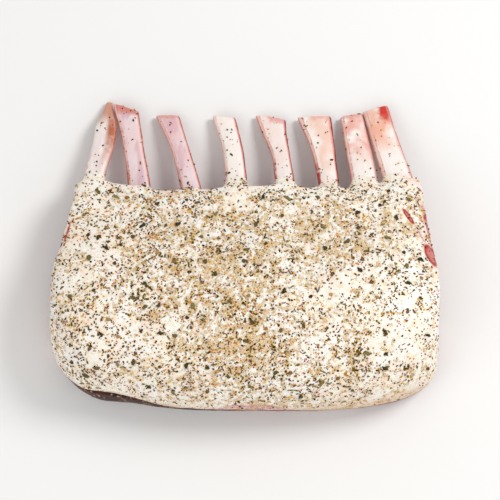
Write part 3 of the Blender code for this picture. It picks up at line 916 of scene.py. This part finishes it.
# Each kind: how many a square metre, size, how much it varies, how ragged it is, how wide its drifts
# are, its share of the tufts, a seed, and its darkest and palest colours.
Kind = namedtuple("Kind", "count length width thickness spread ragged drift tufts seed dark pale")
RUB = {
    "herb_flakes": Kind(
        66000, 0.0016, 0.0009, 0.0005, 0.5, 0.0005, 0.011, 1.0, 3, dark=(46, 40, 2), pale=(142, 116, 20),
    ),
    "cracked_pepper": Kind(
        68000, 0.0010, 0.0008, 0.0007, 0.4, 0.0004, 0.014, 0.2, 5, dark=(50, 25, 0), pale=(152, 92, 6),
    ),
    "ground_pepper": Kind(
        126000, 0.0007, 0.0006, 0.0004, 0.4, 0.0003, 0.008, 0.2, 6, dark=(84, 48, 0), pale=(192, 126, 10),
    ),
    "garlic_granules": Kind(
        40000, 0.0012, 0.0010, 0.0006, 0.4, 0.0004, 0.009, 0.2, 7, dark=(204, 146, 48), pale=(242, 206, 124),
    ),
    "chilli_bits": Kind(
        34000, 0.0009, 0.0007, 0.0004, 0.4, 0.0003, 0.016, 0.1, 11, dark=(140, 40, 4), pale=(226, 106, 16),
    ),
    "rosemary_needles": Kind(
        4500, 0.0036, 0.0006, 0.0005, 0.3, 0.0005, 0.018, 0.7, 13, dark=(50, 48, 36), pale=(130, 122, 92),
    ),
}
BONE_DUSTING = 0.13
FOOT_DUSTING = 0.35
FOOT_FADE = 0.006
FEET_Y = 0.035

# Where the rub lies thick or thin: middle, radius and strength.
DRIFTS = [
    Patch(-0.0792, -0.0514, 0.0235, 0.45),
    Patch(0.0022, -0.0461, 0.0235, 0.35),
    Patch(-0.0426, 0.0059, 0.0186, 0.40),
    Patch(-0.0483, -0.0270, 0.0158, 0.30),
    Patch(0.0598, 0.0095, 0.0107, 0.50),
    Patch(0.0501, -0.0669, 0.0261, 0.20),
    Patch(0.0401, -0.0160, 0.0184, -0.45),
    Patch(0.0784, -0.0046, 0.0159, -0.45),
    Patch(0.0866, -0.0591, 0.0209, -0.40),
    Patch(-0.0869, -0.0046, 0.0159, -0.30),
    Patch(0.0344, 0.0237, 0.0134, -0.35),
    Patch(-0.0167, -0.0445, 0.0104, -0.25),
    Patch(0.0870, 0.0290, 0.0150, -0.55),
    Patch(-0.0038, 0.0279, 0.0065, -0.80),
    Patch(-0.1000, -0.0250, 0.0130, -0.45),
]

# Tufts, where many flakes cling together: those that stand out, and how many smaller ones lie between.
TUFTS = [(-0.0797, -0.0565), (-0.0750, -0.0591), (0.0721, -0.0046), (0.0597, -0.0380)]
TUFTS += [(0.0923, -0.0325), (0.0606, -0.0591)]
SMALL_TUFTS = 44
TUFT_RADIUS = (0.0013, 0.0026)
TUFT_STRENGTH = 6.0
TUFT_SEED = 4
TUFTED_X = (-0.095, 0.095)
TUFTED_Y = (-0.078, 0.030)

# None of the rub stays on a face whose normal has no upward share, and all of it on one with this much.
LYING_FLAT = 0.80


def rub_tree():
    """Strews many small pieces over a surface, each turned, sized and ragged by chance."""
    sizes = ["Per square metre", "Tuft share", "Length", "Width", "Thickness", "Spread", "Ragged"]
    tree, given = tree_with("Rub", sizes + ["Drift", "Seed"])
    ground = given["Geometry"]
    place = ground.node("GeometryNodeInputPosition")
    fine = place.noise(given["Drift"] * 0.3)
    drift = (place.noise(given["Drift"], 3.0) + (fine - 0.5) * 0.8).rise(0.38, 0.70) * 2.0 + 0.16
    marks = {}
    for name in ("dusting", "tufts"):
        kind = "GeometryNodeInputNamedAttribute"
        marks[name] = ground.node(kind, {"data_type": "FLOAT"}, {"Name": name})
    density = given["Per square metre"] * (marks["dusting"] * drift + marks["tufts"] * given["Tuft share"])
    points = ground.node("GeometryNodeDistributePointsOnFaces", (), {
        "Mesh": ground, "Density": density, "Seed": given["Seed"],
    })
    chance = {2: 0.0, 3: 1.0, "Seed": given["Seed"]}
    draw = points.node("FunctionNodeRandomValue", {"data_type": "FLOAT"}, chance, out=1)
    tilt = {0: (-0.3, -0.3, -math.pi), 1: (0.3, 0.3, math.pi), "Seed": given["Seed"]}
    turn = points.node("FunctionNodeRandomValue", {"data_type": "FLOAT_VECTOR"}, tilt)
    turn = turn.node("FunctionNodeEulerToRotation", (), {0: turn})
    turned = turn.node("FunctionNodeRotateRotation", {"rotation_space": "LOCAL"}, {
        "Rotation": points.beside("Rotation"), "Rotate By": turn,
    })
    sides = {0: given["Length"], 1: given["Width"], 2: given["Thickness"]}
    shape = ground.node("ShaderNodeCombineXYZ", (), sides)
    smallest = 1.0 - given["Spread"]
    largest = 1.0 + given["Spread"]
    low = shape.node("ShaderNodeCombineXYZ", (), {0: smallest, 1: smallest, 2: smallest})
    high = shape.node("ShaderNodeCombineXYZ", (), {0: largest, 1: largest, 2: largest})
    span = {0: low, 1: high, "Seed": given["Seed"]}
    size = shape.node("FunctionNodeRandomValue", {"data_type": "FLOAT_VECTOR"}, span)
    size = shape.vector("MULTIPLY", size)
    bit = ground.node("GeometryNodeMeshIcoSphere", (), {"Radius": 0.5, "Subdivisions": 1})
    bit = bit.node("GeometryNodeTransform", (), {"Geometry": bit, "Translation": (0.0, 0.0, 0.25)})
    strewn = points.node("GeometryNodeInstanceOnPoints", (), {
        "Points": points, "Instance": bit, "Rotation": turned, "Scale": size,
    })
    tinted = strewn.node("GeometryNodeStoreNamedAttribute", {"data_type": "FLOAT", "domain": "INSTANCE"}, {
        "Geometry": strewn, "Name": "tint", "Value": draw,
    })
    whole = tinted.node("GeometryNodeRealizeInstances", (), {"Geometry": tinted})
    wander = place.noise(0.0007, 1.0, out=1).vector("SUBTRACT", (0.5, 0.5, 0.5)).scaled(given["Ragged"] * 2.0)
    whole = whole.node("GeometryNodeSetPosition", (), {"Geometry": whole, "Offset": wander})
    finished(whole, given["Material"])
    return tree


def rub_finish(name, dark, pale):
    """Dry crumbs of one kind, each of its own shade."""
    made = bpy.data.materials.new(name)
    made.use_nodes = True
    shader = made.node_tree.nodes["Principled BSDF"]
    shader.inputs["Roughness"].default_value = 0.9
    shader.inputs["Specular IOR Level"].default_value = 0.05
    start = Wire(made.node_tree)
    place = start.node("ShaderNodeTexCoord", out="Object")
    tone = (start.mark("tint") ** 1.6).pick(colour(*dark), colour(*pale))
    tone = (place.noise(0.0006).rise(0.45, 0.75) * 0.4).pick(tone, colour(*pale))
    tone.into(shader, "Base Color")
    return made


def dusted(mesh, on_bone):
    """A copy of a mesh, marked with how much of the rub falls on it. None falls underneath."""
    ground = mesh.copy()
    spots = points_of(ground)
    up = eased(points_of(ground, "normal")[:, 2], 0.0, LYING_FLAT)
    if on_bone:
        foot = np.exp(-np.clip(spots[:, 1] - FRENCH_Y, 0, None) / FOOT_FADE)
        keep_mark(ground, "dusting", up * (BONE_DUSTING + FOOT_DUSTING * foot))
        keep_mark(ground, "tufts", np.zeros(len(spots)))
    else:
        thinner = np.exp(-np.clip(spots[:, 1] - FEET_Y, 0, None) / FOOT_FADE)
        keep_mark(ground, "dusting", up * patched(spots, DRIFTS, 1.0) * thinner)
        keep_mark(ground, "tufts", up * patched(spots, tufts, 0.0))
    return ground


draw = random.Random(TUFT_SEED)
tufts = [Patch(x, y, TUFT_RADIUS[0], 2 * TUFT_STRENGTH) for x, y in TUFTS]
for _ in range(SMALL_TUFTS):
    spot = (draw.uniform(*TUFTED_X), draw.uniform(*TUFTED_Y))
    tufts.append(Patch(*spot, draw.uniform(*TUFT_RADIUS), TUFT_STRENGTH * draw.uniform(0.3, 0.9)))
ground = joined([dusted(fat.data, False)] + [dusted(rib.data, True) for rib in ribs])
rub = rub_tree()
for name, kind in RUB.items():
    bits = piece_from(name, ground.copy())
    bits.data.materials.clear()
    worked(bits, rub, {
        "Per square metre": kind.count, "Tuft share": kind.tufts, "Length": kind.length,
        "Width": kind.width, "Thickness": kind.thickness, "Spread": kind.spread, "Ragged": kind.ragged,
        "Drift": kind.drift, "Seed": kind.seed, "Material": rub_finish(name, kind.dark, kind.pale),
    })
    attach(bits, "root")

# The large flakes
# The biggest pieces of the rub: torn leaves and half peppercorns. They are pressed into the fat, and
# each lies where the solid fat cap has one.

Flake = namedtuple("Flake", "length width thickness count fineness ragged dark pale")
FLAKES = {
    "leaf": Flake(0.0036, 0.0018, 0.0013, 62, 2, 0.0012, (50, 48, 28), (142, 128, 78)),
    "corn": Flake(0.0021, 0.0019, 0.0016, 48, 2, 0.0006, (40, 24, 14), (200, 156, 100)),
}
FLAKE_SINK = 0.35
FLAKE_MARGIN = 0.003
FLAKED_S = 0.93
FLAKED_Q = (0.16, 0.96)
FLAKE_SEED = 8
FLAKE_GRAIN = 0.0012


def flake_mesh(size, place, normal, turn, tint):
    """One ragged flake, turned about the normal of the fat and part sunk in it."""
    mesh = bmesh.new()
    bmesh.ops.create_icosphere(mesh, subdivisions=size.fineness, radius=0.5)
    for vert in mesh.verts:
        vert.co = Vector((vert.co.x * size.length, vert.co.y * size.width, vert.co.z * size.thickness))
        vert.co += size.ragged * noise.noise_vector((vert.co + place) / FLAKE_GRAIN)
    lie = normal.to_track_quat("Z", "Y").to_matrix().to_4x4()
    middle = place + normal * size.thickness * (0.5 - FLAKE_SINK)
    matrix = Matrix.Translation(middle) @ lie @ Matrix.Rotation(turn, 4, "Z")
    bmesh.ops.transform(mesh, matrix=matrix, verts=mesh.verts)
    data = bpy.data.meshes.new("flake")
    mesh.to_mesh(data)
    mesh.free()
    keep_mark(data, "tint", [tint] * len(data.vertices))
    return data


draw = random.Random(FLAKE_SEED)
shade = random.Random(FLAKE_SEED)
taken = []
for kind, size in FLAKES.items():
    flakes = []
    while len(flakes) < size.count:
        s = draw.uniform(-FLAKED_S, FLAKED_S)
        q = draw.uniform(*FLAKED_Q)
        turn = draw.uniform(0, math.pi)
        place = placed(s, *fat_point(s, q))
        reach = size.length / 2
        if any((place - other).length < reach + theirs + FLAKE_MARGIN for other, theirs in taken):
            continue
        taken.append((place, reach))
        spot, normal = fat.closest_point_on_mesh(place)[1:3]
        flakes.append(flake_mesh(size, spot, normal, turn, shade.random()))
    pieces = piece_from(f"large_{kind}", joined(flakes))
    pieces.data.materials.append(rub_finish(f"large_{kind}", size.dark, size.pale))
    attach(pieces, "root")

# The studio
# A plain pale floor, soft light from the right and above, and the camera high over the loin edge.

VIEW_WIDTH = 0.270
VIEW_DISTANCE = 1.2
VIEW_HEIGHT = 80
AIM = Vector((0.0032, -0.0006, 0.025))
LIGHT_TONE = colour(255, 253, 250)
SKY_STRENGTH = 0.58

floor_mesh = bmesh.new()
bmesh.ops.create_grid(floor_mesh, x_segments=1, y_segments=1, size=3.0)
floor_data = bpy.data.meshes.new("floor")
floor_mesh.to_mesh(floor_data)
floor_mesh.free()
floor = piece_from("floor", floor_data)
floor_paint = bpy.data.materials.new("floor")
floor_paint.use_nodes = True
floor_shader = floor_paint.node_tree.nodes["Principled BSDF"]
floor_shader.inputs["Base Color"].default_value = colour(238, 239, 240)
floor_shader.inputs["Roughness"].default_value = 0.8
floor.data.materials.append(floor_paint)

world = bpy.data.worlds.new("studio")
world.use_nodes = True
sky = world.node_tree.nodes["Background"]
sky.inputs["Color"].default_value = LIGHT_TONE
sky.inputs["Strength"].default_value = SKY_STRENGTH
bpy.context.scene.world = world


def soft_light(name, place, size, power):
    lamp = bpy.data.lights.new(name, "AREA")
    lamp.shape = "DISK"
    lamp.size = size
    lamp.energy = power
    lamp.color = LIGHT_TONE[:3]
    made = bpy.data.objects.new(name, lamp)
    made.location = place
    made.rotation_euler = (AIM - Vector(place)).to_track_quat("-Z", "Y").to_euler()
    bpy.context.scene.collection.objects.link(made)


soft_light("key", (0.75, 0.35, 1.0), 0.5, 8.2)
soft_light("fill", (-0.7, -0.5, 0.9), 0.9, 2.5)
soft_light("front", (0.1, -1.0, 0.7), 0.8, 2.0)

camera = bpy.data.cameras.new("camera")
camera.sensor_width = 36.0
camera.lens = camera.sensor_width * VIEW_DISTANCE / VIEW_WIDTH
eye = bpy.data.objects.new("camera", camera)
height = math.radians(VIEW_HEIGHT)
eye.location = AIM + VIEW_DISTANCE * Vector((0.0, -math.cos(height), math.sin(height)))
eye.rotation_euler = (math.pi / 2 - height, 0.0, 0.0)
bpy.context.scene.collection.objects.link(eye)
bpy.context.scene.camera = eye
bpy.context.scene.view_settings.view_transform = "Standard"
